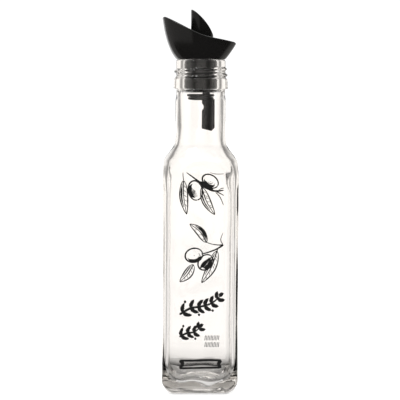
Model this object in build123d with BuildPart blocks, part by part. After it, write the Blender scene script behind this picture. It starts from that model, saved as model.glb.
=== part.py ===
"""Square glass oil bottle with a threaded round neck and a push-in pourer.

Millimetres, +Z up. The origin is the middle of the base, on the surface that the bottle stands
on. The pouring lip points along -X and the printed front face looks along -Y.

The bottle is one piece of clear glass. The pourer is a stack of moulded pieces: a boat-shaped
drip collar that rests on the glass lip, a slant-cut spout tube standing in it, a stopper sleeve
that fills the bore, three sealing fins below the sleeve and a stem that the oil comes up.
"""
from build123d import *
import os

# --- Body of the bottle ---------------------------------------------------------------------
body_width = 47.0           # across the flats
body_corner_radius = 8.0    # upright corners, in plan
heel_radius = 7.0           # round from the sides to the base
wall = 3.0                  # glass thickness on the flats
floor_height = 6.5          # inside floor above the base, at its edge
punt_radius = 13.0          # push-up under the base
punt_depth = 3.0
punt_rise = 0.9              # steepness of the push-up where it starts
shoulder_blend = 6.0        # round where the flats meet the shoulder
cavity_corner_radius = 5.5
cavity_heel_radius = 6.0

# --- Shoulder: the turned envelope that rounds the square body off, each radius and height ---
shoulder_foot = (30.4, 130.5)
shoulder_middle = (23.7, 144.2)
shoulder_top = (17.1, 151.1)
cavity_shoulder_foot = (27.4, 127.5)
cavity_shoulder_middle = (20.7, 142.0)
cavity_shoulder_top = (14.4, 149.2)
cavity_shoulder_blend = 4.0

# --- Neck and finish ------------------------------------------------------------------------
neck_radius = 15.7
neck_base_height = 160.0    # the neck flares into the shoulder below this
neck_bore_radius = 12.6
neck_bore_foot_height = 160.0
neck_top_height = 180.0
waist_radius = 15.2         # slight waist below the bead
waist_height = 185.0
bead_bottom_height = 188.2
bead_bottom_radius = 16.9
bead_top_height = 194.7
bead_top_radius = 16.6
finish_radius = 15.4        # root of the thread
lip_height = 206.2          # top of the glass
lip_round = 1.6
bore_radius = 10.4          # straight bore that takes the stopper
bore_mouth_round = 0.9
bore_bottom_height = 187.4  # the bore opens into the wider neck below this
bore_taper_height = 8.6
thread_section_radius = 1.15
thread_crest_radius = 16.6
thread_pitch = 3.8
thread_turns = 1.5
thread_start_height = 194.9

# --- Drip collar ----------------------------------------------------------------------------
lip_gap = 0.1               # the collar stands this far above the crown of the lip
collar_wall = 1.5
collar_floor = 1.8
boss_radius = 8.8           # ring under the collar, on top of the sleeve
boss_height = 1.1
collar_height = lip_height + lip_gap
# Sections from the foot up: height, prow end, stern end and half breadth. The upper ones run
# on behind the stern, where the sheer cut takes them away.
collar_sections = [
    (collar_height, -15.3, 15.2, 15.0),
    (210.3, -18.0, 18.2, 16.6),
    (215.6, -20.3, 21.6, 18.0),
    (222.5, -22.3, 24.8, 18.9),
    (232.5, -24.0, 27.6, 19.4),
]
# Sheer line of the rim seen from the side, prow to stern, each x and z.
sheer_line = [
    (-30.0, 235.9),
    (-17.7, 230.0),
    (-6.3, 224.3),
    (1.0, 221.3),
    (7.0, 219.9),
    (14.4, 218.6),
    (30.0, 215.8),
]

# --- Spout tube -----------------------------------------------------------------------------
spout_radius = 6.95
spout_wall = 1.25
spout_offset = 0.7          # the tube stands slightly behind the axis
spout_seat = 9.0            # length of tube inside the sleeve
cut_centre_x = -22.6        # the slant cut is round about this line
cut_centre_z = 210.4
cut_radius = 31.6
drain_width = 1.8           # slot at the back of the tube that lets drips run home
drain_top_height = 222.6

# --- Stopper sleeve, fins and stem ----------------------------------------------------------
running_gap = 0.07          # sleeve in the glass bore
seat_gap = 0.02             # pieces of the pourer that are pressed together
sleeve_bottom_height = 188.3
sleeve_top_height = collar_height - boss_height
sleeve_chamfer = 1.0
sleeve_web = 2.0
chamber_radius = 5.9
# Fins from the top down: name, radius, bottom, top and edge round.
fin_sizes = [
    ("sealing_fin_upper", 8.9, 186.9, 188.2, 0.5),
    ("sealing_fin_middle", 8.6, 182.7, 185.2, 1.1),
    ("sealing_fin_lower", 8.1, 180.9, 182.1, 0.4),
]
spigot_offset = 3.4
spigot_radius = 2.35
spigot_bore_radius = 1.3
spigot_stand = 0.6          # the spigot stands this far above the web
stem_offset = 4.3
stem_radius = 3.5
stem_bore_radius = 2.4
stem_cap = 1.2
stem_rib_offset = 7.6       # upright rib on the back of the stem
stem_rib_radius = 1.25
stem_top_height = 180.85
# The end of the stem is trimmed to two slants, each corner x and z.
stem_trim = [(-2.0, 164.4), (6.6, 162.3), (12.0, 167.5)]
port_height = 177.0         # notch in the side of the stem that oil enters by
port_radius = 2.4
port_set_back = 1.2

margin = 10.0               # how far a cutting shape runs past the piece that it cuts
thread_lift = 0.5           # slope on top of the bead, up to the thread land

os.makedirs("parts", exist_ok=True)

# Upright plane through two opposite corners, which keeps turned seams off the flats.
corner_plane = Plane(origin=(0, 0, 0), x_dir=(1, 1, 0), z_dir=(1, -1, 0))


def vessel(width, corner, heel, floor, shoulder, neck, blend):
    """A square prism turned down at the top to a round neck, with the arched edges blended."""
    foot, middle, top = shoulder
    neck_r, neck_foot, neck_top = neck
    clear = foot[0] + margin
    with BuildPart() as body:
        with BuildSketch(Plane.XY.offset(floor)):
            RectangleRounded(width, width, corner)
        extrude(amount=neck_top - floor)
        fillet(body.faces().sort_by(Axis.Z)[0].edges(), heel)
        with BuildSketch(corner_plane):
            with BuildLine():
                Polyline((0, floor - margin), (clear, floor - margin), (clear, foot[1]), foot)
                shoulder_arc = ThreePointArc(foot, middle, top)
                Spline(top, (neck_r, neck_foot), tangents=(shoulder_arc % 1, (0, 1)))
                Polyline(
                    (neck_r, neck_foot),
                    (neck_r, neck_top),
                    (0, neck_top),
                    (0, floor - margin),
                )
            make_face()
        revolve(axis=Axis.Z, mode=Mode.INTERSECT)
        fillet(body.edges().filter_by(GeomType.BSPLINE).filter_by(is_arch), blend)
    return body.part


def is_arch(edge):
    """True for the arched edges between the flats or upright corners and the shoulder."""
    box = edge.bounding_box()
    return box.size.Z > 1 and box.min.Z > 100


# --- Glass bottle -----------------------------------------------------------------------------
outer_body = vessel(
    body_width,
    body_corner_radius,
    heel_radius,
    0.0,
    (shoulder_foot, shoulder_middle, shoulder_top),
    (neck_radius, neck_base_height, neck_top_height),
    shoulder_blend,
)
cavity = vessel(
    body_width - 2 * wall,
    cavity_corner_radius,
    cavity_heel_radius,
    floor_height,
    (cavity_shoulder_foot, cavity_shoulder_middle, cavity_shoulder_top),
    (neck_bore_radius, neck_bore_foot_height, bore_bottom_height - bore_taper_height),
    cavity_shoulder_blend,
)

with BuildPart() as thread:
    with BuildLine() as thread_path:
        Helix(
            pitch=thread_pitch,
            height=thread_pitch * thread_turns,
            radius=thread_crest_radius - thread_section_radius,
            center=(0, 0, thread_start_height),
        )
    with BuildSketch(Plane(origin=thread_path.line @ 0, z_dir=thread_path.line % 0)):
        Circle(thread_section_radius)
    sweep(path=thread_path.line, is_frenet=True)
    with Locations(thread_path.line @ 0, thread_path.line @ 1):
        Sphere(thread_section_radius)

with BuildPart() as glass_bottle:
    add(outer_body)
    # The finish: waist, transfer bead with its sharp lower edge, thread land and lip.
    with BuildSketch(Plane.XZ):
        with BuildLine():
            Polyline((neck_radius, neck_top_height - 1), (neck_radius, neck_top_height))
            Spline(
                (neck_radius, neck_top_height),
                (waist_radius, waist_height),
                tangents=((0, 1), (0, 1)),
            )
            Polyline(
                (waist_radius, waist_height),
                (waist_radius, bead_bottom_height),
                (bead_bottom_radius, bead_bottom_height),
                (bead_top_radius, bead_top_height),
                (finish_radius, bead_top_height + thread_lift),
                (finish_radius, lip_height),
                (0, lip_height),
                (0, neck_top_height - 1),
                (neck_radius, neck_top_height - 1),
            )
        make_face()
    revolve(axis=Axis.Z)
    fillet(glass_bottle.edges().group_by(Axis.Z)[-1], lip_round)
    add(thread.part.rotate(Axis.Z, 180))
    # Inside: the body, the wider neck, the taper and the straight bore.
    add(cavity, mode=Mode.SUBTRACT)
    with BuildSketch(Plane.XZ):
        with BuildLine():
            taper_foot = (neck_bore_radius, bore_bottom_height - bore_taper_height)
            Spline(taper_foot, (bore_radius, bore_bottom_height), tangents=((0, 1), (0, 1)))
            Polyline(
                (bore_radius, bore_bottom_height),
                (bore_radius, lip_height - bore_mouth_round),
            )
            RadiusArc(
                (bore_radius, lip_height - bore_mouth_round),
                (bore_radius + bore_mouth_round, lip_height),
                bore_mouth_round,
            )
            Polyline(
                (bore_radius + bore_mouth_round, lip_height),
                (bore_radius + bore_mouth_round, lip_height + 1),
                (0, lip_height + 1),
                (0, taper_foot[1] - 1),
                (neck_bore_radius, taper_foot[1] - 1),
                taper_foot,
            )
        make_face()
    revolve(axis=Axis.Z, mode=Mode.SUBTRACT)
    # The push-up under the base.
    with BuildSketch(Plane.XZ):
        with BuildLine():
            Polyline((0, 0), (punt_radius, 0))
            Spline((punt_radius, 0), (0, punt_depth), tangents=((-1, punt_rise), (-1, 0)))
            Polyline((0, punt_depth), (0, 0))
        make_face()
    revolve(axis=Axis.Z, mode=Mode.SUBTRACT)
glass_bottle.part.label = "glass_bottle"
export_step(glass_bottle.part, "parts/glass_bottle.step")


# --- Drip collar ------------------------------------------------------------------------------
def collar_shape(inset):
    """The lofted hull of the collar, moved in by a wall thickness, up past its highest point."""
    with BuildPart() as hull:
        for height, prow, stern, half_breadth in collar_sections:
            with BuildSketch(Plane(((prow + stern) / 2, 0, height))):
                Ellipse((stern - prow) / 2 - inset, half_breadth - inset)
        loft()
    return hull.part


collar_hull = collar_shape(0.0)
collar_inside = collar_shape(collar_wall)
above_all = collar_sections[-1][0] + margin

with BuildPart() as collar_inner_cup:
    add(collar_inside)
    with BuildSketch(Plane.XY.offset(collar_height + collar_floor)):
        Rectangle(2 * body_width, 2 * body_width)
    extrude(amount=above_all, mode=Mode.INTERSECT)

with BuildPart() as drip_collar:
    add(collar_hull)
    add(collar_inner_cup.part, mode=Mode.SUBTRACT)
    with BuildSketch(Plane.XZ) as over_the_rim:
        with BuildLine():
            Spline(*sheer_line)
            Polyline(
                sheer_line[-1],
                (sheer_line[-1][0], above_all),
                (sheer_line[0][0], above_all),
                sheer_line[0],
            )
        make_face()
    extrude(amount=body_width, both=True, mode=Mode.SUBTRACT)
    # The ring that presses on the sleeve, and the seat of the spout tube through both.
    with BuildSketch(Plane.XY.offset(sleeve_top_height)):
        Circle(boss_radius)
    extrude(amount=boss_height + collar_floor / 2)
    with BuildSketch(Plane.XY.offset(sleeve_top_height)):
        with Locations((spout_offset, 0)):
            Circle(spout_radius + seat_gap)
    extrude(amount=boss_height + collar_floor, mode=Mode.SUBTRACT)
drip_collar.part.label = "drip_collar"
export_step(drip_collar.part, "parts/drip_collar.step")

# --- Spout tube -------------------------------------------------------------------------------
spout_foot_height = sleeve_top_height - spout_seat
spout_clear_height = cut_centre_z + cut_radius + margin

with BuildPart() as pour_spout:
    with BuildSketch(Plane.XY.offset(spout_foot_height)):
        with Locations((spout_offset, 0)):
            Circle(spout_radius)
            Circle(spout_radius - spout_wall, mode=Mode.SUBTRACT)
    extrude(amount=spout_clear_height - spout_foot_height)
    # Slant cut: everything above and behind the round line comes off.
    with BuildSketch(Plane.XZ):
        with BuildLine():
            CenterArc((cut_centre_x, cut_centre_z), cut_radius, 0, 90)
            Polyline(
                (cut_centre_x, cut_centre_z + cut_radius),
                (cut_centre_x, spout_clear_height + margin),
                (cut_centre_x + 2 * cut_radius, spout_clear_height + margin),
                (cut_centre_x + 2 * cut_radius, cut_centre_z),
                (cut_centre_x + cut_radius, cut_centre_z),
            )
        make_face()
    extrude(amount=2 * spout_radius, both=True, mode=Mode.SUBTRACT)
    # Drain slot from the collar's floor up the back of the tube.
    with BuildSketch(Plane.XY.offset(collar_height + collar_floor)):
        with Locations((spout_offset + spout_radius, 0)):
            Rectangle(3 * spout_wall, drain_width)
    extrude(amount=drain_top_height - collar_height - collar_floor, mode=Mode.SUBTRACT)
pour_spout.part.label = "pour_spout"
export_step(pour_spout.part, "parts/pour_spout.step")

# --- Stopper sleeve ---------------------------------------------------------------------------
sleeve_radius = bore_radius - running_gap

with BuildPart() as stopper_sleeve:
    with BuildSketch(Plane.XY.offset(sleeve_bottom_height)):
        Circle(sleeve_radius)
    extrude(amount=sleeve_top_height - sleeve_bottom_height)
    chamfer(stopper_sleeve.edges().group_by(Axis.Z)[-1], sleeve_chamfer)
    # Chamber over the web, and the wider seat of the spout tube above it.
    with BuildSketch(Plane.XY.offset(sleeve_bottom_height + sleeve_web)):
        with Locations((spout_offset, 0)):
            Circle(chamber_radius)
    extrude(amount=sleeve_top_height - sleeve_bottom_height, mode=Mode.SUBTRACT)
    with BuildSketch(Plane.XY.offset(spout_foot_height)):
        with Locations((spout_offset, 0)):
            Circle(spout_radius + seat_gap)
    extrude(amount=spout_seat + 1, mode=Mode.SUBTRACT)
    # Hole in the web for the spigot of the stem.
    with BuildSketch(Plane.XY.offset(sleeve_bottom_height)):
        with Locations((spigot_offset, 0)):
            Circle(spigot_radius + seat_gap)
    extrude(amount=sleeve_web, mode=Mode.SUBTRACT)
stopper_sleeve.part.label = "stopper_sleeve"
export_step(stopper_sleeve.part, "parts/stopper_sleeve.step")

# --- Sealing fins -----------------------------------------------------------------------------
for name, radius, bottom, top, edge_round in fin_sizes:
    with BuildPart() as sealing_fin:
        with BuildSketch(Plane.XY.offset(bottom)):
            Circle(radius)
        extrude(amount=top - bottom)
        fillet(sealing_fin.edges(), edge_round)
        with BuildSketch(Plane.XY.offset(bottom)):
            with Locations((spigot_offset, 0)):
                Circle(spigot_radius + seat_gap)
        extrude(amount=top - bottom, mode=Mode.SUBTRACT)
    sealing_fin.part.label = name
    export_step(sealing_fin.part, f"parts/{name}.step")

# --- Stem -------------------------------------------------------------------------------------
stem_clear_height = min(z for x, z in stem_trim) - 1
spigot_top_height = sleeve_bottom_height + sleeve_web + spigot_stand

with BuildPart() as oil_stem:
    # The tube with its rib, the cap over it and the spigot that goes up through the fins.
    with BuildSketch(Plane.XY.offset(stem_clear_height)):
        with Locations((stem_offset, 0)):
            Circle(stem_radius)
        with Locations((stem_rib_offset, 0)):
            Circle(stem_rib_radius)
        with Locations((stem_offset, 0)):
            Circle(stem_bore_radius, mode=Mode.SUBTRACT)
    extrude(amount=stem_top_height - stem_cap - stem_clear_height)
    with BuildSketch(Plane.XY.offset(stem_top_height - stem_cap)):
        with Locations((stem_offset, 0)):
            Circle(stem_radius)
        with Locations((stem_rib_offset, 0)):
            Circle(stem_rib_radius)
        with Locations((spigot_offset, 0)):
            Circle(spigot_bore_radius, mode=Mode.SUBTRACT)
    extrude(amount=stem_cap)
    with BuildSketch(Plane.XY.offset(stem_top_height)):
        with Locations((spigot_offset, 0)):
            Circle(spigot_radius)
            Circle(spigot_bore_radius, mode=Mode.SUBTRACT)
    extrude(amount=spigot_top_height - stem_top_height)
    # Two slants at the tip, then the notch that opens the bore at the side.
    with BuildSketch(Plane.XZ):
        with BuildLine():
            Polyline(*stem_trim)
            Polyline(
                stem_trim[-1],
                (stem_trim[-1][0], stem_clear_height - 1),
                (stem_trim[0][0], stem_clear_height - 1),
                stem_trim[0],
            )
        make_face()
    extrude(amount=2 * stem_radius, both=True, mode=Mode.SUBTRACT)
    with BuildSketch(Plane.XZ):
        with Locations((stem_offset - stem_radius - port_set_back, port_height)):
            Circle(port_radius)
    extrude(amount=2 * stem_radius, both=True, mode=Mode.SUBTRACT)
oil_stem.part.label = "oil_stem"
export_step(oil_stem.part, "parts/oil_stem.step")
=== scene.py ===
"""Looks of the glass oil bottle: clear glass, black ink, a black plastic pourer, a white studio.

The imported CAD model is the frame. Lengths are in metres, written as millimetres times MM.
"""

import math

import bmesh
import bpy
from mathutils import Matrix, Vector, noise


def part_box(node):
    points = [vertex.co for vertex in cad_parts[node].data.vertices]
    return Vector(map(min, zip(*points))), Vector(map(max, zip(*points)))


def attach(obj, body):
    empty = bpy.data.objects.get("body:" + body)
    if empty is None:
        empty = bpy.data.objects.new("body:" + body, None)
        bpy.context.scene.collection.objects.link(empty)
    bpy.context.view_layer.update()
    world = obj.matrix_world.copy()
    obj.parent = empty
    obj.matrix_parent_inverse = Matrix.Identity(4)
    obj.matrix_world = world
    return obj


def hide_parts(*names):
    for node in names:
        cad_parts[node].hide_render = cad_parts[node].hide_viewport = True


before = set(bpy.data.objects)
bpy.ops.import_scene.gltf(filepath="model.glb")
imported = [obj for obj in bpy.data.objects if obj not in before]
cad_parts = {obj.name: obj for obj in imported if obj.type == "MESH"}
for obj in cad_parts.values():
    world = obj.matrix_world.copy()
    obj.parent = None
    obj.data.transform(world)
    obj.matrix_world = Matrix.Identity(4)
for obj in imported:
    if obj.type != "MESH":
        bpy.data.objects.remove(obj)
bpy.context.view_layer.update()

MM = 0.001
TAU = 2 * math.pi

# --- Sizes that the frame gives -----------------------------------------------------------
glass_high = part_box("glass_bottle")[1]
collar_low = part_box("drip_collar")[0]
spout_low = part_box("pour_spout")[0]
half_width = glass_high.x
lip_height = glass_high.z

# --- Glass sizes -------------------------------------------------------------------------------
# The outline and the bore repeat the CAD's driving dimensions. The heel, the lip's rounding, the
# thread's profile and the thickness of the glass are tuned, within a few millimetres of it.
wall = 3.5 * MM
body_corner = 8.0 * MM
heel = 8.2 * MM
floor_height = 6.5 * MM
punt_radius = 13.0 * MM
punt_depth = 3.0 * MM
dome_rise = 1.6 * MM
base_lift = 0.25 * MM       # the push-up's rim stands this high over the bearing ring
bearing_inner = 14.2 * MM   # radius of the bearing ring on its inside
bearing_corner = 1.2 * MM   # corner of the bearing ring's square outside
cavity_power = 10.0         # how square the cavity is in plan
floor_power = 2.4           # and how square it is at its floor
side_thinning = 0.055       # the side walls are thinner in their middle than at the corners
floor_ripple = 2.4 * MM     # ridges left on the inner floor by the chilled parison
floor_rise = 16.0 * MM      # height over which the walls turn into the floor
floor_easing = 1.4          # how gently they start to
ripple_length = 11 * MM
dome_share = 0.85           # the floor's dome reaches this share of the push-up's radius
outer_wave = 0.03 * MM      # how far the outside wanders from its true shape
inner_wave = 0.22 * MM      # and the inside, which no mould touches
wave_height = 26 * MM       # these waves are long up the glass
waves_round = 1.3           # and shorter round it
wave_pitch = 1.7
ripple_squeeze = 1.6        # the floor's ridges run from side to side
side_top = 120.0 * MM       # below here the outside is straight
cavity_side_top = 118.0 * MM
# The turned shoulder, outside and inside: each height and radius, from the corners up to the neck.
shoulder_line = [
    (124.0 * MM, 32.4 * MM),
    (130.5 * MM, 30.4 * MM),
    (137.0 * MM, 27.9 * MM),
    (142.9 * MM, 24.5 * MM),
    (145.4 * MM, 22.3 * MM),
    (147.8 * MM, 20.4 * MM),
    (150.3 * MM, 18.5 * MM),
    (152.6 * MM, 16.95 * MM),
    (154.8 * MM, 16.2 * MM),
    (158.0 * MM, 15.85 * MM),
    (162.0 * MM, 15.7 * MM),
    (168.0 * MM, 15.7 * MM),
]
cavity_line = [
    (121.0 * MM, 29.6 * MM),
    (127.5 * MM, 27.4 * MM),
    (134.0 * MM, 24.9 * MM),
    (139.5 * MM, 21.6 * MM),
    (142.0 * MM, 19.9 * MM),
    (144.6 * MM, 18.1 * MM),
    (147.2 * MM, 16.4 * MM),
    (149.8 * MM, 14.95 * MM),
    (152.8 * MM, 13.8 * MM),
    (157.0 * MM, 13.0 * MM),
    (162.0 * MM, 12.7 * MM),
    (167.0 * MM, 12.6 * MM),
    (172.0 * MM, 12.6 * MM),
]
shoulder_blend = 2.4 * MM
neck_radius = 15.7 * MM
neck_foot = 162.0 * MM
neck_top = 180.0 * MM
neck_bore = 12.6 * MM
neck_bore_foot = 167.0 * MM
neck_bore_top = 186.2 * MM
waist_radius = 15.2 * MM
waist_height = 185.0 * MM
bead_bottom = 188.2 * MM
bead_bottom_radius = 16.9 * MM
bead_top = 194.7 * MM
bead_top_radius = 16.6 * MM
land_radius = 15.4 * MM
bore_radius = 10.4 * MM
bore_bottom = 188.8 * MM
lip_round = 1.0 * MM
mouth_round = 0.9 * MM
thread_pitch = 3.8 * MM
thread_turns = 1.5
thread_start = 194.9 * MM
thread_height = 1.3 * MM
thread_half_width = 1.75 * MM
thread_flat = 0.15 * MM
thread_fade = 0.35          # radians at each end
glass_segments = 240
heel_steps = 10
floor_steps = 16
bearing_bars = 60           # knurling of the ring that the bottle stands on
bearing_bar_depth = 0.16 * MM

# --- Pourer ------------------------------------------------------------------------------------
collar_foot = collar_low.z + 1.1 * MM
collar_wall = 1.5 * MM
collar_floor = 1.8 * MM
boss_radius = 8.8 * MM
collar_stations = [
    (206.3 * MM, -15.3 * MM, 15.2 * MM, 15.0 * MM),
    (210.3 * MM, -18.0 * MM, 18.2 * MM, 16.6 * MM),
    (215.6 * MM, -20.3 * MM, 21.6 * MM, 18.0 * MM),
    (222.5 * MM, -22.3 * MM, 24.8 * MM, 18.9 * MM),
    (232.5 * MM, -24.0 * MM, 27.6 * MM, 19.4 * MM),
]
sheer_line = [
    (-30.0 * MM, 235.9 * MM),
    (-17.7 * MM, 230.0 * MM),
    (-6.3 * MM, 224.3 * MM),
    (1.0 * MM, 221.3 * MM),
    (7.0 * MM, 219.9 * MM),
    (14.4 * MM, 218.6 * MM),
    (30.0 * MM, 215.8 * MM),
]
spout_axis = 0.7 * MM
spout_radius = 6.95 * MM
spout_wall = 1.25 * MM
cut_centre_x = -22.6 * MM
cut_centre_z = 210.4 * MM
cut_radius = 31.6 * MM
drain_half_width = 0.9 * MM
drain_top = 222.6 * MM
tip_length = 1.7 * MM       # the two tips of the rim are rounded off over this length
tip_drop = 0.9 * MM
sheer_top = 234 * MM        # over the highest place of the sheer line on the hull
rim_flatness = 0.8          # height of the rim's rounding, as a share of a half circle's


# --- Small helpers ---------------------------------------------------------------------------
def smoothstep(low, high, value):
    t = min(max((value - low) / (high - low), 0.0), 1.0)
    return t * t * (3 - 2 * t)


def mix(a, b, t):
    return a + (b - a) * t


def soft_min(a, b, blend):
    """The smaller of two values, rounded where they cross."""
    overlap = max(blend - abs(a - b), 0.0) / blend
    return min(a, b) - overlap * overlap * blend / 4


def hermite(p0, p1, slope0, slope1, t):
    """Cubic from p0 to p1 whose slopes are per unit of t."""
    t2, t3 = t * t, t * t * t
    return (
        (2 * t3 - 3 * t2 + 1) * p0
        + (t3 - 2 * t2 + t) * slope0
        + (3 * t2 - 2 * t3) * p1
        + (t3 - t2) * slope1
    )


def curve_through(points, x):
    """Smooth height of a line through (x, height) points, by a Hermite cubic on each span."""
    count = len(points)
    i = 0
    while i < count - 2 and x > points[i + 1][0]:
        i += 1
    (x0, y0), (x1, y1) = points[i], points[i + 1]
    before = points[max(i - 1, 0)]
    after = points[min(i + 2, count - 1)]
    slope0 = (y1 - before[1]) / (x1 - before[0])
    slope1 = (after[1] - y0) / (after[0] - x0)
    t = (x - x0) / (x1 - x0)
    return hermite(y0, y1, slope0 * (x1 - x0), slope1 * (x1 - x0), t)


def rounded_square(half, corner, angle):
    """Distance from the axis to a rounded square's outline, in the direction of angle."""
    a = angle % (math.pi / 2)
    if a > math.pi / 4:
        a = math.pi / 2 - a
    centre = half - corner
    if half * math.tan(a) <= centre:
        return half / math.cos(a)
    b = centre * (math.cos(a) + math.sin(a))
    return b + math.sqrt(max(b * b - 2 * centre * centre + corner * corner, 0.0))


def soft_square(half, power, angle):
    """Like rounded_square, with corners that swell out of the flats with no edge to them."""
    side = abs(math.cos(angle)) ** power + abs(math.sin(angle)) ** power
    return half / side ** (1 / power)


def cavity_outline(half, power, angle):
    """Distance from the axis to the cavity's wall, whose sides bow out towards the middle."""
    r = soft_square(half, power, angle)
    x, y = r * math.cos(angle), r * math.sin(angle)
    return math.hypot(x * (1 + side_thinning * (1 - min((y / half) ** 2, 1.0))), y)


def spaced(low, high, count):
    """count values after low, evenly up to high."""
    return [mix(low, high, (i + 1) / count) for i in range(count)]


def mesh_object(name, vertices, faces, smooth=True):
    mesh = bpy.data.meshes.new(name)
    mesh.from_pydata(vertices, [], faces)
    mesh.update()
    bm = bmesh.new()
    bm.from_mesh(mesh)
    bmesh.ops.recalc_face_normals(bm, faces=bm.faces)
    bm.to_mesh(mesh)
    bm.free()
    for polygon in mesh.polygons:
        polygon.use_smooth = smooth
    piece = bpy.data.objects.new(name, mesh)
    bpy.context.scene.collection.objects.link(piece)
    return piece


def skin(name, rings, first_pole=None, last_pole=None, loop=False):
    """A mesh through rings of equal length, closed round each ring and at the poles given."""
    count = len(rings[0])
    vertices = [point for ring in rings for point in ring]
    faces = []
    spans = len(rings) if loop else len(rings) - 1
    for i in range(spans):
        here, there = i * count, ((i + 1) % len(rings)) * count
        for j in range(count):
            k = (j + 1) % count
            faces.append((here + j, here + k, there + k, there + j))
    if first_pole is not None:
        vertices.append(first_pole)
        pole = len(vertices) - 1
        faces += [(pole, (j + 1) % count, j) for j in range(count)]
    if last_pole is not None:
        vertices.append(last_pole)
        pole = len(vertices) - 1
        last = (len(rings) - 1) * count
        faces += [(pole, last + j, last + (j + 1) % count) for j in range(count)]
    return mesh_object(name, vertices, faces)


# --- Glass bottle ------------------------------------------------------------------------------
def thread_ridge(angle, z):
    """How far the thread stands out of the land at that place."""
    out = 0.0
    for turn in range(3):
        travelled = (angle - math.pi) % TAU + turn * TAU
        if travelled > thread_turns * TAU:
            continue
        crest = thread_start + thread_pitch * travelled / TAU
        away = abs(z - crest)
        fade = smoothstep(0, thread_fade, travelled)
        fade *= smoothstep(0, thread_fade, thread_turns * TAU - travelled)
        shape = 1 - smoothstep(thread_flat, thread_half_width, away)
        out = max(out, thread_height * shape * fade)
    return out


def glass_ring(radius_at, z, wave=0.0, ripple=0.0):
    """One ring of the glass, wandering by wave in its radius and by ripple in its height."""
    ring = []
    for j in range(glass_segments):
        angle = TAU * j / glass_segments
        r = radius_at(angle)
        if wave:
            round_it = Vector((math.cos(angle), math.sin(angle), 0.0)) * waves_round
            r += wave * noise.noise((round_it + Vector((0.0, 0.0, z / wave_height))) * wave_pitch)
        x, y = r * math.cos(angle), r * math.sin(angle)
        place = Vector((x, y * ripple_squeeze, 0.0)) / ripple_length
        up = ripple * noise.noise(place) if ripple else 0.0
        ring.append((x, y, z + up))
    return ring


def heel_rings():
    """Rings round the heel, from the plane it stands on up to the side."""
    rings = []
    for i in range(heel_steps + 1):
        turn = math.pi / 2 * i / heel_steps
        inset = heel * (1 - math.sin(turn))
        square = (half_width - inset, max(body_corner - inset, 0.3 * MM))
        z = heel * (1 - math.cos(turn))
        rings.append(glass_ring(lambda a, s=square: rounded_square(*s, a), z))
    return rings


def round_ring(radius, z, wave=0.0):
    return glass_ring(lambda a: radius, z, wave)


def base_rings():
    """Under the base, from the middle of the push-up out to the knurled bearing ring."""
    rings = []
    for i in range(1, 9):
        r = punt_radius * i / 8
        rings.append(round_ring(r, punt_depth * (1 - (r / punt_radius) ** 2) + base_lift))
    rings.append(round_ring(punt_radius + 0.5 * MM, 0.05 * MM))
    outer = half_width - heel - 0.2 * MM
    for t in (0.0, 0.15, 0.5, 0.85):
        ring = []
        for j in range(glass_segments):
            angle = TAU * j / glass_segments
            r = mix(bearing_inner, rounded_square(outer, bearing_corner, angle), t)
            bar = 0.5 + 0.5 * math.cos(angle * bearing_bars)
            depth = bearing_bar_depth * bar * (1 if 0.1 < t < 0.9 else 0)
            ring.append((r * math.cos(angle), r * math.sin(angle), depth))
        rings.append(ring)
    return rings


def outer_rings():
    """Up the outside: heel, sides, shoulder, neck, waist, bead, thread and lip."""
    rings = base_rings()
    rings += heel_rings()

    def side(z):
        limit = curve_through(shoulder_line, max(z, shoulder_line[0][0]))
        return lambda a: soft_min(
            rounded_square(half_width, body_corner, a), limit, shoulder_blend
        )

    heights = spaced(heel, side_top, 22) + spaced(side_top, neck_foot, 56)
    rings += [glass_ring(side(z), z, outer_wave) for z in heights]
    rings += [round_ring(neck_radius, z, outer_wave) for z in spaced(neck_foot, neck_top, 8)]
    for t in spaced(0, 1, 6):
        r = mix(neck_radius, waist_radius, smoothstep(0, 1, t))
        rings.append(round_ring(r, mix(neck_top, waist_height, t)))
    under_bead = [(0.0, -1.2), (0.05, -0.6), (0.2, -0.3), (0.5, -0.12), (1.0, -0.04)]
    rings += [round_ring(waist_radius + r * MM, bead_bottom + z * MM) for r, z in under_bead]
    edge = [(-0.25, 0.0), (-0.08, 0.05), (0.0, 0.22), (0.0, 0.6)]
    rings += [round_ring(bead_bottom_radius + r * MM, bead_bottom + z * MM) for r, z in edge]
    for t in spaced(0, 1, 4):
        r = mix(bead_bottom_radius, bead_top_radius, t)
        rings.append(round_ring(r, mix(bead_bottom + 0.6 * MM, bead_top - 0.7 * MM, t)))
    shed = [(-0.02, -0.5), (-0.1, -0.3), (-0.27, -0.12), (-0.55, 0.02), (-0.85, 0.15)]
    rings += [
        glass_ring(
            lambda a, r=bead_top_radius + r * MM, z=bead_top + z * MM: max(
                r, land_radius + thread_ridge(a, z)
            ),
            bead_top + z * MM,
        )
        for r, z in shed
    ]
    land_low, land_high = bead_top + 0.3 * MM, lip_height - lip_round
    for z in spaced(land_low, land_high, 58):
        root = mix(land_radius + 0.3 * MM, land_radius, smoothstep(0, 0.8 * MM, z - land_low))
        rings.append(glass_ring(lambda a, r=root, h=z: max(r, land_radius + thread_ridge(a, h)), z))
    for i in range(1, 9):
        turn = math.pi / 2 * i / 8
        r = land_radius - lip_round * (1 - math.cos(turn))
        rings.append(round_ring(r, lip_height - lip_round * (1 - math.sin(turn))))
    return rings


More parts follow.
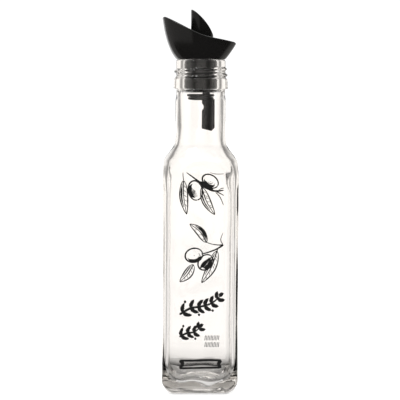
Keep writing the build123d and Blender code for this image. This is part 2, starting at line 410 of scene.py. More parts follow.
def inner_rings():
    """Down the inside: lip, bore, taper, neck, shoulder, sides, heel and the domed floor."""
    half, radius = half_width - wall, heel - 1.0 * MM
    rings = [round_ring(bore_radius + mouth_round + 0.6 * MM, lip_height)]
    for i in range(6):
        turn = math.pi / 2 * i / 5
        r = bore_radius + mouth_round * (1 - math.sin(turn))
        rings.append(round_ring(r, lip_height - mouth_round * (1 - math.cos(turn))))
    rings += [round_ring(bore_radius, z) for z in spaced(lip_height - mouth_round, bore_bottom, 8)]
    for t in spaced(0, 1, 12):
        r = mix(bore_radius, neck_bore, smoothstep(0, 1, t))
        rings.append(round_ring(r, mix(bore_bottom, neck_bore_top, t), 0.06 * MM * t))
    heights = spaced(neck_bore_top, neck_bore_foot, 10)
    rings += [round_ring(neck_bore, z, 0.1 * MM) for z in heights]

    def side(z):
        limit = curve_through(cavity_line, max(z, cavity_line[0][0]))
        return lambda a: soft_min(cavity_outline(half, cavity_power, a), limit, shoulder_blend)

    heights = spaced(neck_bore_foot, cavity_side_top, 46)
    heights += spaced(cavity_side_top, floor_height + floor_rise, 24)
    rings += [glass_ring(side(z), z, inner_wave) for z in heights]
    for i in range(floor_steps - 1, -1, -1):
        turn = math.pi / 2 * i / floor_steps
        inset = radius * (1 - math.sin(turn)) ** floor_easing
        power = mix(floor_power, cavity_power, math.sin(turn))
        z = floor_height + floor_rise * (1 - math.cos(turn))
        ripple = floor_ripple * (1 - math.sin(turn)) * 0.8
        size = (half - inset, power)
        rings.append(glass_ring(lambda a, s=size: cavity_outline(*s, a), z, inner_wave, ripple))
    inner, dome_radius = half - radius, punt_radius * dome_share
    for t in (0.12, 0.45, 0.8, 1.0):
        rings.append(
            glass_ring(
                lambda a, s=t: mix(soft_square(inner, floor_power, a), dome_radius, s),
                floor_height + dome_rise * 0.28 * t * t,
                ripple=floor_ripple,
            )
        )
    for i in range(7, 0, -1):
        r = dome_radius * i / 8
        z = floor_height + dome_rise * (1 - 0.72 * (i / 8) ** 2)
        rings.append(glass_ring(lambda a, q=r: q, z, ripple=floor_ripple * i / 8))
    return rings


def make_bottle():
    rings = outer_rings() + inner_rings()
    base = (0, 0, punt_depth + base_lift)
    dome = (0, 0, floor_height + dome_rise)
    return skin("bottle_glass", rings, first_pole=base, last_pole=dome)


# --- Drip collar ---------------------------------------------------------------------------------
collar_segments = 160
rim_steps = 7


def collar_radii(z, inset):
    """Middle, half length and half breadth of the collar's outline at a height."""
    prow = curve_through([(s[0], s[1]) for s in collar_stations], z)
    stern = curve_through([(s[0], s[2]) for s in collar_stations], z)
    breadth = curve_through([(s[0], s[3]) for s in collar_stations], z)
    return (prow + stern) / 2, (stern - prow) / 2 - inset, breadth - inset


def collar_point(angle, z, inset=0.0):
    middle, length, breadth = collar_radii(z, inset)
    return Vector((middle + length * math.cos(angle), breadth * math.sin(angle), z))


def sheer_meeting(angle):
    """Height at which the hull meets the sheer line, by halving the interval."""
    low, high = collar_foot, sheer_top
    for _ in range(40):
        z = (low + high) / 2
        if curve_through(sheer_line, collar_point(angle, z).x) > z:
            low = z
        else:
            high = z
    return low


def rim_height(angle, prow, stern):
    """Height of the rim, where prow and stern are the ends of the rim."""
    z = sheer_meeting(angle)
    return z - tip_drop * tip_round(collar_point(angle, z).x, prow, stern)


def tip_round(x, prow, stern):
    """0 along the rim, up to 1 at the very tips, so that they are round from the side."""
    ahead = min(x - prow, stern - x)
    t = 1 - min(max(ahead / tip_length, 0.0), 1.0)
    return 1 - math.sqrt(1 - t * t)


def collar_rings():
    angles = [TAU * j / collar_segments for j in range(collar_segments)]
    prow = collar_point(math.pi, sheer_meeting(math.pi)).x
    stern = collar_point(0.0, sheer_meeting(0.0)).x
    rims = [rim_height(a, prow, stern) for a in angles]
    hole, hole_round = spout_radius + 0.02 * MM, 0.4 * MM
    rings = []

    def flat(radius, z, middle=0.0):
        return [(middle + radius * math.cos(a), radius * math.sin(a), z) for a in angles]

    foot_round, foot_inset = 0.7 * MM, 2.4 * MM
    boss_foot = collar_low.z
    rings.append(flat(hole, boss_foot, spout_axis))
    rings.append(flat(boss_radius - 0.25 * MM, boss_foot))
    rings.append(flat(boss_radius, boss_foot + 0.2 * MM))
    rings.append(flat(boss_radius, collar_foot))
    for inset in (foot_inset, foot_round):
        rings.append([tuple(collar_point(a, collar_foot, inset)) for a in angles])
    for i in range(1, 5):
        turn = math.pi / 2 * i / 4
        inset = foot_round * (1 - math.sin(turn))
        z = collar_foot + foot_round * (1 - math.cos(turn))
        rings.append([tuple(collar_point(a, z, inset)) for a in angles])
    radius = collar_wall / 2
    low = collar_foot + foot_round
    for t in spaced(0, 1, 30):
        heights = [mix(low, rim - radius, t) for rim in rims]
        rings.append([tuple(collar_point(a, z)) for a, z in zip(angles, heights)])
    for i in range(1, rim_steps + 1):
        turn = math.pi * i / rim_steps
        ring = []
        for j, a in enumerate(angles):
            outside = collar_point(a, rims[j] - radius)
            inside = collar_point(a, rims[j] - radius, collar_wall)
            middle = (outside + inside) / 2
            up = Vector((0, 0, radius * math.sin(turn) * rim_flatness))
            ring.append(tuple(middle + (outside - middle) * math.cos(turn) + up))
        rings.append(ring)
    floor_top = collar_foot + collar_floor
    fillet = 1.2 * MM
    for t in spaced(0, 1, 24):
        ring = []
        for j, a in enumerate(angles):
            z = mix(rims[j] - radius, floor_top + fillet, t)
            ring.append(tuple(collar_point(a, z, collar_wall)))
        rings.append(ring)
    for i in range(1, 5):
        turn = math.pi / 2 * i / 4
        inset = collar_wall + fillet * (1 - math.cos(turn))
        z = floor_top + fillet * (1 - math.sin(turn))
        rings.append([tuple(collar_point(a, z, inset)) for a in angles])
    rings.append(flat(hole + hole_round, floor_top, spout_axis))
    rings.append(flat(hole, floor_top - hole_round / 2, spout_axis))
    return rings


def make_collar():
    return skin("drip_collar_shell", collar_rings(), loop=True)


# --- Spout tube ----------------------------------------------------------------------------------
spout_segments = 128


def cut_height(x):
    """Height of the slant cut above a place along the tube's width."""
    reach = x - cut_centre_x
    return cut_centre_z + math.sqrt(max(cut_radius * cut_radius - reach * reach, 0.0))


def make_spout():
    angles = [TAU * j / spout_segments for j in range(spout_segments)]
    inner = spout_radius - spout_wall
    edge = 0.35 * MM
    rings = []

    def tube(radius, height):
        return [
            (spout_axis + radius * math.cos(a), radius * math.sin(a), height(a)) for a in angles
        ]

    def top(a, drop):
        middle = spout_axis + (spout_radius + inner) / 2 * math.cos(a)
        return cut_height(middle) - drop

    foot = spout_low.z
    seat_top = collar_foot + collar_floor
    rings.append(tube(inner, lambda a: foot + edge))
    rings.append(tube(inner + edge, lambda a: foot))
    rings.append(tube(spout_radius - edge, lambda a: foot))
    rings.append(tube(spout_radius, lambda a: foot + edge))
    rings.append(tube(spout_radius, lambda a: seat_top - 1 * MM))
    for t in spaced(0, 1, 14):
        rings.append(tube(spout_radius, lambda a: mix(seat_top, top(a, edge), t)))
    for i in range(1, 4):
        turn = math.pi / 2 * i / 3
        r = spout_radius - edge * (1 - math.cos(turn))
        rings.append(tube(r, lambda a: top(a, edge * (1 - math.sin(turn)))))
    for i in range(4):
        turn = math.pi / 2 * i / 3
        r = inner + edge * (1 - math.sin(turn))
        rings.append(tube(r, lambda a: top(a, edge * (1 - math.cos(turn)))))
    for t in spaced(0, 1, 14):
        rings.append(tube(inner, lambda a: mix(top(a, edge), seat_top, t)))
    piece = skin("spout_tube", rings, loop=True)
    return cut_drain_slot(piece, seat_top)


def cut_drain_slot(piece, floor_top):
    """Opens the back of the tube from the collar's floor up, with a boolean that is applied."""
    bm = bmesh.new()
    bmesh.ops.create_cube(bm, size=1.0)
    size = Vector((4 * spout_wall, 2 * drain_half_width, drain_top - floor_top))
    centre = Vector((spout_axis + spout_radius, 0, floor_top + size.z / 2))
    bm.transform(Matrix.Translation(centre) @ Matrix.Diagonal((*size, 1.0)))
    mesh = bpy.data.meshes.new("drain_cutter")
    bm.to_mesh(mesh)
    bm.free()
    cutter = bpy.data.objects.new("drain_cutter", mesh)
    bpy.context.scene.collection.objects.link(cutter)
    cut = piece.modifiers.new("drain", "BOOLEAN")
    cut.operation = "DIFFERENCE"
    cut.solver = "EXACT"
    cut.object = cutter
    apply_modifiers(piece)
    bpy.data.objects.remove(cutter)
    return piece


def apply_modifiers(piece):
    """Swaps the mesh for what its modifiers make of it."""
    bpy.context.view_layer.update()
    depsgraph = bpy.context.evaluated_depsgraph_get()
    made = bpy.data.meshes.new_from_object(piece.evaluated_get(depsgraph))
    piece.modifiers.clear()
    piece.data = made


# --- Materials -----------------------------------------------------------------------------------
def new_material(name):
    material = bpy.data.materials.new(name)
    material.use_nodes = True
    tree = material.node_tree
    return material, tree, tree.nodes["Principled BSDF"]


def object_coordinates(tree, scale):
    """Object coordinates times a scale, as a vector for textures."""
    place = tree.nodes.new("ShaderNodeTexCoord")
    mapping = tree.nodes.new("ShaderNodeMapping")
    mapping.inputs["Scale"].default_value = scale
    tree.links.new(place.outputs["Object"], mapping.inputs["Vector"])
    return mapping.outputs["Vector"]


def noise_value(tree, vector, scale, detail=2.0, roughness=0.5):
    texture = tree.nodes.new("ShaderNodeTexNoise")
    texture.inputs["Scale"].default_value = scale
    texture.inputs["Detail"].default_value = detail
    texture.inputs["Roughness"].default_value = roughness
    tree.links.new(vector, texture.inputs["Vector"])
    return texture.outputs["Fac"]


def stretched(tree, value, low, high, start=0.0, end=1.0, easing="LINEAR"):
    """value, taken from start..end to low..high."""
    stretch = tree.nodes.new("ShaderNodeMapRange")
    stretch.interpolation_type = easing
    stretch.inputs["From Min"].default_value = start
    stretch.inputs["From Max"].default_value = end
    stretch.inputs["To Min"].default_value = low
    stretch.inputs["To Max"].default_value = high
    tree.links.new(value, stretch.inputs["Value"])
    return stretch.outputs["Result"]


def maths(tree, operation, *values):
    """The result of a maths node on values that are floats or other nodes' outputs."""
    node = tree.nodes.new("ShaderNodeMath")
    node.operation = operation
    for slot, value in zip(node.inputs, values):
        if isinstance(value, float):
            slot.default_value = value
        else:
            tree.links.new(value, slot)
    return node.outputs["Value"]


def axes_of(tree, place):
    """The X, Y and Z outputs of a place."""
    split = tree.nodes.new("ShaderNodeSeparateXYZ")
    tree.links.new(place, split.inputs["Vector"])
    return split.outputs


def speckled_colour(tree, value, dark, light, shader):
    """Base colour that runs from dark to light with value."""
    colour = tree.nodes.new("ShaderNodeValToRGB")
    colour.color_ramp.elements[0].color = (*dark, 1)
    colour.color_ramp.elements[1].color = (*light, 1)
    tree.links.new(value, colour.inputs["Fac"])
    tree.links.new(colour.outputs["Color"], shader.inputs["Base Color"])


def bump_from(tree, value, distance, shader):
    bump = tree.nodes.new("ShaderNodeBump")
    bump.inputs["Distance"].default_value = distance
    tree.links.new(value, bump.inputs["Height"])
    tree.links.new(bump.outputs["Normal"], shader.inputs["Normal"])


def base_stipple(tree):
    """Roughness of the underside, which is stippled where the bottle stands and in its push-up."""
    place = tree.nodes.new("ShaderNodeTexCoord").outputs["Object"]
    stipple = noise_value(tree, place, 900.0, 2.0)
    height = axes_of(tree, place)["Z"]
    low = stretched(tree, height, 0.6, 0.0, 0.2 * MM, punt_depth + 1.6 * MM, "SMOOTHSTEP")
    return maths(tree, "MULTIPLY", low, stipple)


def glass_material():
    """Clear flint glass: a slow waviness left by the mould and a trace of grey in the thick."""
    material, tree, shader = new_material("clear_flint_glass")
    shader.inputs["Base Color"].default_value = (0.985, 0.982, 0.975, 1)
    shader.inputs["Transmission Weight"].default_value = 1.0
    shader.inputs["IOR"].default_value = 1.52
    vector = object_coordinates(tree, (1, 1, 0.45))
    waves = noise_value(tree, vector, 60.0, 1.5)
    bump_from(tree, waves, 0.00012, shader)
    smears = noise_value(tree, vector, 140.0, 3.0)
    smeared = stretched(tree, smears, 0.0, 0.03, 0.45, 0.75)
    rough = maths(tree, "MAXIMUM", smeared, base_stipple(tree))
    tree.links.new(rough, shader.inputs["Roughness"])
    absorb = tree.nodes.new("ShaderNodeVolumeAbsorption")
    absorb.inputs["Color"].default_value = (0.93, 0.90, 0.86, 1)
    absorb.inputs["Density"].default_value = 26.0
    output = tree.nodes["Material Output"]
    tree.links.new(absorb.outputs["Volume"], output.inputs["Volume"])
    return material


def gloss_plastic_material():
    """Black moulded plastic: nearly mirror-smooth, with fine flow marks and faint scuffs."""
    material, tree, shader = new_material("black_gloss_plastic")
    vector = object_coordinates(tree, (1, 1, 1))
    mottle = noise_value(tree, vector, 90.0, 4.0)
    speckled_colour(tree, mottle, (0.0035, 0.0033, 0.0031), (0.0065, 0.0061, 0.0058), shader)
    shader.inputs["IOR"].default_value = 1.46
    scuffs = noise_value(tree, object_coordinates(tree, (1, 1, 5)), 420.0, 5.0, 0.65)
    rough = stretched(tree, scuffs, 0.13, 0.24, 0.35, 0.75)
    tree.links.new(rough, shader.inputs["Roughness"])
    bump_from(tree, noise_value(tree, vector, 55.0, 2.0), 0.00005, shader)
    return material


def soft_plastic_material():
    """Satin flexible plastic of the stopper: spark-eroded grain and a warm black."""
    material, tree, shader = new_material("black_soft_plastic")
    vector = object_coordinates(tree, (1, 1, 1))
    grain = noise_value(tree, vector, 2600.0, 3.0)
    patches = noise_value(tree, vector, 130.0, 3.0)
    speckled_colour(tree, patches, (0.003, 0.0028, 0.0026), (0.007, 0.0064, 0.0058), shader)
    shader.inputs["Specular IOR Level"].default_value = 0.08
    rough = stretched(tree, patches, 0.38, 0.55, 0.3, 0.7)
    tree.links.new(rough, shader.inputs["Roughness"])
    bump_from(tree, grain, 0.00003, shader)
    return material


def ink_material():
    """Screen-printing ink: dense black with a slightly uneven lay-down."""
    material, tree, shader = new_material("black_ink")
    vector = object_coordinates(tree, (1, 1, 1))
    lay = noise_value(tree, vector, 900.0, 4.0)
    speckled_colour(tree, lay, (0.004, 0.004, 0.004), (0.016, 0.015, 0.014), shader)
    rough = stretched(tree, lay, 0.42, 0.62, 0.3, 0.7)
    tree.links.new(rough, shader.inputs["Roughness"])
    bump_from(tree, noise_value(tree, vector, 5000.0, 2.0), 0.00001, shader)
    return material


glass = glass_material()
gloss_plastic = gloss_plastic_material()
soft_plastic = soft_plastic_material()
ink = ink_material()

# --- Pieces ----------------------------------------------------------------------------------------
bottle = make_bottle()
bottle.data.materials.append(glass)
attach(bottle, "bottle")
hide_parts("glass_bottle")

collar = make_collar()
collar.data.materials.append(gloss_plastic)
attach(collar, "pourer")
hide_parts("drip_collar")

spout = make_spout()
spout.data.materials.clear()
spout.data.materials.append(gloss_plastic)
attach(spout, "pourer")
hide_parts("pour_spout")

carried_over = (
    "stopper_sleeve",
    "sealing_fin_upper",
    "sealing_fin_middle",
    "sealing_fin_lower",
    "oil_stem",
)
for node in carried_over:
    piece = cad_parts[node]
    piece.data.materials.clear()
    piece.data.materials.append(soft_plastic)


# --- Printed decoration ----------------------------------------------------------------------------
ink_back = -half_width + 0.03 * MM
ink_front = -half_width - 0.04 * MM
ink_step = 0.0006 * MM      # each stroke lies this much over the one before
edge_waver = 0.16           # how uneven the edges of a stroke are, as a share of its width


def path_through(points, count):
    """count + 1 places on a smooth curve through points of the plane."""
    spans = len(points) - 1
    line = []
    for i in range(count + 1):
        k = min(int(spans * i / count), spans - 1)
        t = spans * i / count - k
        p0, p1 = points[max(k - 1, 0)], points[k]
        p2, p3 = points[k + 1], points[min(k + 2, spans)]
        slopes = [((p2[a] - p0[a]) / 2, (p3[a] - p1[a]) / 2) for a in (0, 1)]
        line.append(tuple(hermite(p1[a], p2[a], *slopes[a], t) for a in (0, 1)))
    return line


def along(widths, t):
    """Width at t from 0 to 1 along a stroke whose widths are given at even steps."""
    spans = len(widths) - 1
    k = min(int(spans * t), spans - 1)
    return mix(widths[k], widths[k + 1], smoothstep(0, 1, spans * t - k))


class InkSheet:
    """Strokes of ink on the front face, gathered into one piece.

    Places are x and z in millimetres, and the whole is raised by lift.
    """

    def __init__(self, name, lift=0.0):
        self.name = name
        self.lift = lift
        self.vertices = []
        self.faces = []
        self.strokes = 0

    def stroke(self, points, widths, steps=24):
        """A flat ribbon of ink along a path, round at its ends, a little uneven at its edges."""
        line = path_through(points, steps)
        run = [0.0]
        for i in range(steps):
            run.append(run[-1] + math.dist(line[i], line[i + 1]))
        first = len(self.vertices)
        front = ink_front - ink_step * self.strokes
        for i, (x, z) in enumerate(line):
            before, after = line[max(i - 1, 0)], line[min(i + 1, steps)]
            dx, dz = after[0] - before[0], after[1] - before[1]
            length = math.hypot(dx, dz) or 1.0
            half = along(widths, i / steps) / 2
            end = min(run[i], run[-1] - run[i], half) / half
            half *= max(math.sqrt(1 - (1 - end) ** 2), 0.25)
            half *= 1 + edge_waver * noise.noise(Vector((x * 0.8, z * 0.8, self.strokes)))
            nx, nz = -dz / length * half, dx / length * half
            for side, y in ((1, ink_back), (1, front), (-1, front), (-1, ink_back)):
                self.vertices.append(((x + side * nx) * MM, y, (z + side * nz + self.lift) * MM))
        for i in range(steps):
            here = first + 4 * i
            for j in range(4):
                k = (j + 1) % 4
                self.faces.append((here + j, here + k, here + 4 + k, here + 4 + j))
        last = first + 4 * steps
        self.faces.append((first, first + 3, first + 2, first + 1))
        self.faces.append((last, last + 1, last + 2, last + 3))
        self.strokes += 1

    def leaf(self, base, tip, width, bend, shade=0.0, hatches=0, line=0.68):
        """A pointed leaf: two edges, a rib, one shaded side and short hatching on the other."""
        rib = bowed(base, tip, bend)
        spine = path_through(rib, 16)
        edges = [[leaf_point(spine, i, side * width / 2) for i in range(0, 17, 2)] for side in (-1, 1)]
        for edge in edges:
            self.stroke(edge, (line * 0.6, line * 1.2, line * 0.7))
        self.stroke(rib, (line * 1.1, line * 0.6))
        if shade:
            inside = [leaf_point(spine, i, -width * 0.27) for i in range(2, 13, 2)]
            self.stroke(inside, (0.3, shade, shade * 0.8, 0.25))
        for i in range(hatches):
            k = 3 + round(10 * i / hatches)
            start = leaf_point(spine, k, width * 0.08)
            end = leaf_point(spine, min(k + 1, 16), width * 0.40)
            self.stroke([start, end], (0.42, 0.22), 4)

    def olive(self, centre, length, width, angle, shade, hatches=0, line=0.74):
        """An olive: its outline, a dark side inside it and curved hatching across the light."""
        tilt = math.radians(angle)

        def at(turn, share=1.0):
            a, b = share * length / 2 * math.cos(turn), share * width / 2 * math.sin(turn)
            return (
                centre[0] + a * math.cos(tilt) - b * math.sin(tilt),
                centre[1] + a * math.sin(tilt) + b * math.cos(tilt),
            )

        self.stroke([at(TAU * i / 16) for i in range(17)], (line, line * 1.3, line), 48)
        reach = 1 - shade / width
        dark = [at(mix(-0.92, -0.08, i / 8) * math.pi, reach) for i in range(9)]
        self.stroke(dark, (0.25, shade, shade, 0.3), 32)
        for i in range(hatches):
            share = mix(0.62, 0.05, i / max(hatches - 1, 1))
            arc = [at(mix(-0.75, 0.1, j / 6) * math.pi, share) for j in range(7)]
            self.stroke(arc, (0.24, 0.44, 0.22), 16)

    def drop(self, base, tip, breadth):
        """A solid drop-shaped leaf or bud."""
        width = abs(breadth)
        self.stroke(bowed(base, tip, breadth * 0.2), (0.35, width, width * 0.85, 0.25), 20)

    def finish(self):
        piece = mesh_object(self.name, self.vertices, self.faces, smooth=False)
        piece.data.materials.append(ink)
        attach(piece, "bottle")


def bowed(base, tip, bend):
    """Three points from base to tip, the middle one pushed sideways by bend."""
    dx, dz = tip[0] - base[0], tip[1] - base[1]
    length = math.hypot(dx, dz)
    middle = (base[0] + dx / 2 - dz / length * bend, base[1] + dz / 2 + dx / length * bend)
    return [base, middle, tip]


def leaf_point(spine, i, reach):
    """A place beside the spine, as far out as a leaf is wide there, with its widest part early."""
    last = len(spine) - 1
    before, after = spine[max(i - 1, 0)], spine[min(i + 1, last)]
    dx, dz = after[0] - before[0], after[1] - before[1]
    length = math.hypot(dx, dz)
    out = reach * math.sin(math.pi * (i / last) ** 0.85)
    return (spine[i][0] - dz / length * out, spine[i][1] + dx / length * out)


def print_upper_sprig():
    """A sprig that hangs in from the upper right, with two olives and two long leaves."""
    sheet = InkSheet("ink_sprig_upper", 1.0)
    sheet.stroke([(-9.2, 136.6), (-3.4, 132.4), (2.6, 127.9), (7.6, 125.4), (13.6, 125.8)],
                 (0.5, 1.0, 1.7, 1.2, 0.7), 40)
    sheet.stroke([(7.4, 125.6), (10.6, 124.3), (13.7, 122.6)], (0.5, 0.7, 0.5))
    sheet.stroke([(8.6, 124.6), (11.4, 121.6), (13.6, 116.6)], (0.4, 0.6, 0.35))
    sheet.stroke([(10.6, 125.9), (12.2, 126.9), (13.8, 127.1)], (0.3, 0.5, 0.3))
    sheet.stroke([(5.2, 136.5), (9.0, 135.7), (13.6, 135.8)], (0.25, 0.4, 0.3))
    sheet.olive((-3.7, 125.6), 12.0, 8.6, -78, 2.2, 6)
    sheet.olive((5.4, 131.3), 10.6, 7.4, -33, 2.0, 3)
    sheet.stroke([(-1.2, 131.2), (1.2, 129.2), (4.6, 127.2), (7.2, 126.4)], (0.7, 3.4, 2.6, 0.5), 24)
    sheet.stroke([(-11.3, 136.6), (-11.2, 134.2), (-10.9, 131.8)], (0.35, 0.5, 0.5))
    sheet.leaf((-10.9, 131.8), (-8.9, 111.0), 4.8, -0.8, 1.2, 5)
    sheet.leaf((0.2, 127.6), (8.3, 110.8), 4.9, -1.1, 0.9, 6)
    sheet.finish()


def print_lower_sprig():
    """A sprig from the right, with one leaf reaching up and back, two olives and two leaves."""
    sheet = InkSheet("ink_sprig_lower", 0.7)
    sheet.stroke([(13.6, 92.6), (9.4, 90.0), (4.2, 88.0), (0.2, 87.0)], (1.2, 0.9, 0.8, 0.6), 30)
    sheet.stroke([(13.6, 92.6), (10.2, 92.6), (6.2, 93.2), (2.4, 94.6)], (1.0, 0.6, 0.5, 0.4), 30)
    sheet.stroke([(13.4, 92.8), (12.0, 95.8), (13.4, 100.4)], (0.6, 0.5, 0.25))
    sheet.leaf((3.4, 94.0), (-7.0, 105.4), 4.7, -1.5, 1.6, 3)
    sheet.olive((-4.3, 86.2), 10.8, 8.6, 12, 1.9, 2)
    sheet.olive((2.8, 81.9), 10.4, 8.2, 48, 2.6, 2)
    sheet.stroke([(-0.6, 78.2), (2.0, 81.0), (5.6, 84.8)], (0.6, 2.6, 0.6), 24)
    sheet.stroke([(11.2, 91.6), (10.4, 90.2), (9.8, 89.0)], (0.6, 0.5, 0.4))
    sheet.leaf((9.8, 89.2), (0.4, 69.2), 5.4, 1.3, 1.0, 7)
    sheet.leaf((-4.6, 80.6), (-12.9, 69.8), 5.0, 0.9, 0.8, 5)
    sheet.finish()


def print_garland(name, stem, widths, pairs, length, breadth, berries):
    """A bold branch: a stem with solid leaves in pairs along it, one at its tip, and round berries."""
    sheet = InkSheet(name)
    sheet.stroke(stem, widths, 40)
    line = path_through(stem, 60)
    for i in range(pairs):
        k = round(mix(5, 54, i / (pairs - 1)))
        heading = math.atan2(line[k + 2][1] - line[k - 2][1], line[k + 2][0] - line[k - 2][0])
        size = length * mix(1.0, 0.78, i / (pairs - 1))
        for side in (1, -1):
            turn = heading + side * math.radians(46)
            base = line[k]
            tip = (base[0] + size * math.cos(turn), base[1] + size * math.sin(turn))
            sheet.drop(base, tip, side * breadth)
    sheet.drop(line[-2], (line[-1][0] + length * 0.4, line[-1][1] + length * 0.35), breadth)
    for x, z, size in berries:
        sheet.stroke([(x - size * 0.4, z), (x + size * 0.4, z + 0.15)], (size, size), 12)
    sheet.finish()


def print_garlands():
    print_garland(
        "ink_garland_upper",
        [(-13.0, 50.4), (-6.4, 54.2), (0.4, 55.4), (6.6, 57.4), (11.6, 61.4)],
        (1.3, 1.5, 1.3, 1.1, 0.7),
        6,
        6.3,
        2.5,
        [(-9.6, 58.2, 1.9), (-1.0, 50.2, 1.8), (7.4, 52.8, 1.7)],
    )
    print_garland(
        "ink_garland_lower",
        [(-13.0, 36.6), (-8.6, 38.8), (-4.0, 39.6), (-0.4, 42.4)],
        (1.3, 1.4, 1.1, 0.7),
        4,
        5.6,
        2.3,
        [(-10.6, 43.2, 1.7), (-3.2, 35.4, 1.6)],
    )


def print_ticks():
    """Two short rows of plain slanted ticks."""
    sheet = InkSheet("ink_ticks")
    for low, high in ((34.4, 37.6), (30.2, 33.4)):
        for i in range(10):
            x = 2.6 + 0.92 * i
            sheet.stroke([(x, low), (x + 0.5, high)], (0.40, 0.36), 8)
    sheet.finish()


def print_ribbon():
    """A swallow-tailed ribbon with a fine wavy line along it."""
    sheet = InkSheet("ink_ribbon")
    sheet.stroke([(-12.6, 21.9), (-4.2, 21.9), (4.4, 22.2), (12.8, 22.0)], (1.3, 1.4, 1.5, 1.3), 30)
    sheet.stroke([(-12.9, 17.1), (-4.2, 17.3), (4.4, 17.5), (12.6, 17.6)], (1.3, 1.2, 1.3, 1.3), 30)
    for side, tip, fork in ((-1, 12.9, 10.1), (1, 13.1, 10.4)):
        sheet.stroke([(side * tip, 21.8), (side * fork, 19.7)], (1.4, 2.2), 10)
        sheet.stroke([(side * fork, 19.7), (side * tip, 17.4)], (2.2, 1.4), 10)
    wave = [(-8.8 + 0.9 * i, 19.7 + (0.5 if i % 2 else -0.35)) for i in range(20)]
    sheet.stroke(wave, (0.35, 0.55, 0.45, 0.55, 0.35), 76)
    sheet.finish()


print_upper_sprig()
print_lower_sprig()
print_garlands()
print_ticks()
print_ribbon()


# --- Studio: metres, degrees of azimuth and levels of light --------------------------------------
shade_reach = 1.2
shade_stops = [(0.02, 0.3), (0.04, 0.42), (0.06, 0.56), (0.1, 0.82), (0.16, 0.98), (0.3, 1.08)]
open_floor = 1.1             # level of the floor at the shade's far edge
shade_flags = 0.75           # how much of the cards' darkening the floor takes on
flag_radius = 0.9
flag_height = 0.8
flag_spacing = 90.0          # between the windows
window_half = 18.0           # full white each side of a window's middle
flag_full = 43.0             # from here on the cards are at their darkest
window_level = 1.2
flag_level = 0.3
floor_drop = 0.0002          # the floor lies this far under the bottle
card_foot = -0.0001          # the upright cards reach down to here, between floor and bottle
shade_lift = 0.0004          # heights of the flat cards
cloth_lift = 0.0006
card_radius = 0.041
card_height = 0.0115
screen_foot = 0.7            # radius of the reflected screens at the floor, and at their top
screen_head = 0.55
screen_height = 0.9
cloth_inner = 0.03
black_level = 0.04
dim_level = 0.4
card_tint = (1.0, 0.975, 0.955)
flag_tint = (1.0, 0.97, 0.94)


def emission_material(name, colour, strength):
    """A surface that only glows. Returns the material, its tree and the emission node."""
    material = bpy.data.materials.new(name)
    material.use_nodes = True
    tree = material.node_tree
    tree.nodes.remove(tree.nodes["Principled BSDF"])
    glow = tree.nodes.new("ShaderNodeEmission")
    glow.inputs["Color"].default_value = (*colour, 1)
    glow.inputs["Strength"].default_value = strength
    tree.links.new(glow.outputs["Emission"], tree.nodes["Material Output"].inputs["Surface"])
    return material, tree, glow


def seen_only_in(card, glossy=False, transmission=False):
    """A card that stands out of the camera's sight and only shows in reflections or through glass."""
    card.visible_camera = False
    card.visible_diffuse = False
    card.visible_shadow = False
    card.visible_volume_scatter = False
    card.visible_glossy = glossy
    card.visible_transmission = transmission


def stage_floor():
    """A pale floor that runs far out, lit a little from within like a light table."""
    material, tree, shader = new_material("studio_floor")
    shader.inputs["Base Color"].default_value = (0.9, 0.9, 0.9, 1)
    shader.inputs["Roughness"].default_value = 0.7
    shader.inputs["Specular IOR Level"].default_value = 0.1
    shader.inputs["Emission Color"].default_value = (1, 1, 1, 1)
    shader.inputs["Emission Strength"].default_value = 0.5
    reach = 6.0
    corners = [(-reach, -reach, 0), (reach, -reach, 0), (reach, reach, 0), (-reach, reach, 0)]
    floor = mesh_object("studio_floor", corners, [(0, 1, 2, 3)], smooth=False)
    floor.location.z = -floor_drop
    floor.data.materials.append(material)


def sector(name, inner, outer, low, high, start, end, steps=48):
    """A strip round the object between two radii and heights. Azimuth 0 is +Y, and +X is 90."""
    vertices, faces = [], []
    for i in range(steps + 1):
        a = math.radians(mix(start, end, i / steps))
        vertices.append((inner * math.sin(a), inner * math.cos(a), low))
        vertices.append((outer * math.sin(a), outer * math.cos(a), high))
    for i in range(steps):
        faces.append((2 * i, 2 * i + 1, 2 * i + 3, 2 * i + 2))
    return mesh_object(name, vertices, faces, smooth=False)


def window_light(tree):
    """How bright the surroundings are in a direction round the object, windows and cards alike."""
    place = axes_of(tree, tree.nodes.new("ShaderNodeNewGeometry").outputs["Position"])
    azimuth = maths(tree, "ARCTAN2", place["X"], place["Y"])
    fold = maths(tree, "PINGPONG", azimuth, math.radians(flag_spacing / 2))
    start, end = math.radians(window_half), math.radians(flag_full)
    return stretched(tree, fold, window_level, flag_level, start, end, "SMOOTHSTEP")


def floor_shade():
    """The soft shade that the glass throws round its own foot, seen only through the glass."""
    shade = sector("floor_shade", 0.001, shade_reach, shade_lift, shade_lift, 0, 360, 96)
    material, tree, glow = emission_material("floor_shade", card_tint, 1.0)
    geometry = tree.nodes.new("ShaderNodeNewGeometry")
    length = tree.nodes.new("ShaderNodeVectorMath")
    length.operation = "LENGTH"
    tree.links.new(geometry.outputs["Position"], length.inputs[0])
    curve = tree.nodes.new("ShaderNodeValToRGB")
    ramp = curve.color_ramp
    ramp.interpolation = "B_SPLINE"
    for radius, value in shade_stops:
        place = radius / shade_reach
        first = radius == shade_stops[0][0]
        element = ramp.elements[0] if first else ramp.elements.new(place)
        element.position = place
        element.color = (value, value, value, 1)
    ramp.elements[len(shade_stops)].color = (open_floor, open_floor, open_floor, 1)
    share = maths(tree, "DIVIDE", length.outputs["Value"], shade_reach)
    tree.links.new(share, curve.inputs["Fac"])
    faint = maths(tree, "MULTIPLY_ADD", window_light(tree), shade_flags, 1 - shade_flags)
    both = maths(tree, "MULTIPLY", curve.outputs["Color"], faint)
    tree.links.new(both, glow.inputs["Strength"])
    shade.data.materials.append(material)
    seen_only_in(shade, transmission=True)


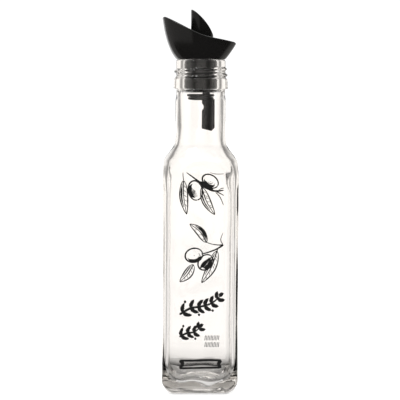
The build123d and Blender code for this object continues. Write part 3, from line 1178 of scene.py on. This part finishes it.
def edge_flags():
    """A ring of grey cards with windows between them, whose refraction draws the glass."""
    ring = sector("edge_flags", flag_radius, flag_radius, card_foot, flag_height, 0, 360, 288)
    material, tree, glow = emission_material("edge_flags", flag_tint, 1.0)
    tree.links.new(window_light(tree), glow.inputs["Strength"])
    ring.data.materials.append(material)
    seen_only_in(ring, transmission=True)


def foot_shade_card():
    """A low graded card round the foot that glows, seen only through the glass: painted shade, dark
    below and pale at its top.
    """
    card = sector("foot_shade_card", card_radius, card_radius, 0.0002, card_height, 0, 360, 144)
    material, tree, glow = emission_material("foot_shade_card", card_tint, 1.0)
    height = axes_of(tree, tree.nodes.new("ShaderNodeNewGeometry").outputs["Position"])["Z"]
    # painted shade: the glow runs from dark at the card's foot to pale at its top, standing in for
    # shade round the bottle's foot
    level = stretched(tree, height, 0.02, 0.6, 0.003, card_height)
    tree.links.new(level, glow.inputs["Strength"])
    card.data.materials.append(material)
    seen_only_in(card, transmission=True)


def black_flags():
    """Dark cloth round the front and, dimmer, at the sides, seen only in reflections."""
    black = emission_material("black_flags", flag_tint, black_level)[0]
    dim = emission_material("dim_flags", flag_tint, dim_level)[0]
    screens = [
        ("black_screen", black, 72, 208),
        ("dim_screen_right", dim, 18, 72),
        ("dim_screen_left", dim, 208, 322),
    ]
    cloths = [
        ("black_cloth", black, 72, 288),
        ("dim_cloth_right", dim, 18, 72),
        ("dim_cloth_left", dim, 288, 322),
    ]
    for name, material, start, end in screens:
        flag = sector(name, screen_foot, screen_head, card_foot, screen_height, start, end)
        flag.data.materials.append(material)
        seen_only_in(flag, glossy=True)
    for name, material, start, end in cloths:
        flag = sector(name, cloth_inner, screen_foot, cloth_lift, cloth_lift, start, end)
        flag.data.materials.append(material)
        seen_only_in(flag, glossy=True)


def studio_world():
    """An even white tent."""
    world = bpy.data.worlds.new("studio")
    bpy.context.scene.world = world
    world.use_nodes = True
    back = world.node_tree.nodes["Background"]
    back.inputs["Color"].default_value = (1, 1, 1, 1)
    back.inputs["Strength"].default_value = 1.1


def area_light(name, place, target, size, power):
    data = bpy.data.lights.new(name, "AREA")
    data.shape = "RECTANGLE"
    data.size, data.size_y = size
    data.energy = power
    light = bpy.data.objects.new(name, data)
    light.location = place
    aim = Vector(target) - Vector(place)
    light.rotation_mode = "QUATERNION"
    light.rotation_quaternion = aim.to_track_quat("-Z", "Y")
    bpy.context.scene.collection.objects.link(light)


stage_floor()
floor_shade()
edge_flags()
foot_shade_card()
black_flags()
studio_world()
area_light("top_softbox", (-0.35, -0.25, 1.0), (0, 0, 0.15), (0.5, 0.5), 3)


# --- Camera ----------------------------------------------------------------------------------------
camera_distance = 1.0
camera_azimuth = math.radians(-2.0)
camera_height = 196 * MM
aim_height = 119 * MM
picture_width = 249.6 * MM
camera_roll = math.radians(0.35)
sensor_width = 36.0         # in millimetres, as the lens


def make_camera():
    data = bpy.data.cameras.new("camera")
    data.sensor_width = sensor_width
    camera = bpy.data.objects.new("camera", data)
    bpy.context.scene.collection.objects.link(camera)
    place = Vector((
        math.sin(camera_azimuth) * camera_distance,
        -math.cos(camera_azimuth) * camera_distance,
        camera_height,
    ))
    target = Vector((0.0, 0, aim_height))
    aim = target - place
    data.lens = sensor_width * aim.length / picture_width
    camera.location = place
    camera.rotation_mode = "QUATERNION"
    roll = Matrix.Rotation(camera_roll, 4, "Z").to_quaternion()
    camera.rotation_quaternion = aim.to_track_quat("-Z", "Y") @ roll
    data.clip_start, data.clip_end = 0.05, 20
    bpy.context.scene.camera = camera


make_camera()
bpy.context.scene.view_settings.view_transform = "Standard"
